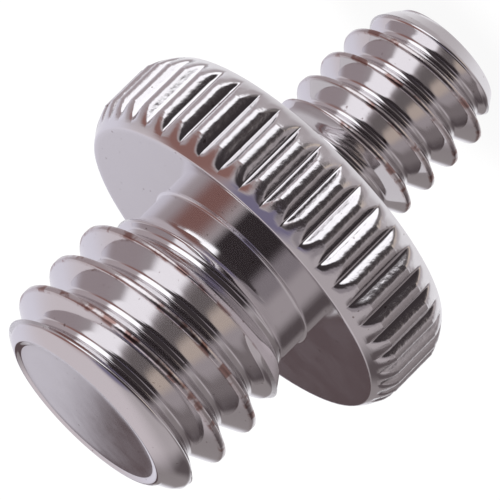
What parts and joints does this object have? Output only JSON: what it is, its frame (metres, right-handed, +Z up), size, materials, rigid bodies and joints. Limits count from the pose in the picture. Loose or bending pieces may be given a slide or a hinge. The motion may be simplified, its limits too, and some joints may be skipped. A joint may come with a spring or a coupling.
{
  "type": "tripod thread adapter",
  "caption": "One-piece turned metal adapter with a larger and a smaller threaded stud on either side of a serrated round flange, for joining tripod and camera gear.",
  "frame": {"origin": "centre of the small stud's end face, which the part stands on", "axes": "+Z up the common axis of both studs, from the small stud to the large one; -Y is the side that the picture shows"},
  "size_m": [0.0148, 0.0148, 0.0192],
  "materials": {
    "bright_plating": "bright nickel plating over turned steel, polished with faint turning marks"
  },
  "bodies": {
    "root": {"thread_adapter": "bright_plating"}
  },
  "joints": []
}
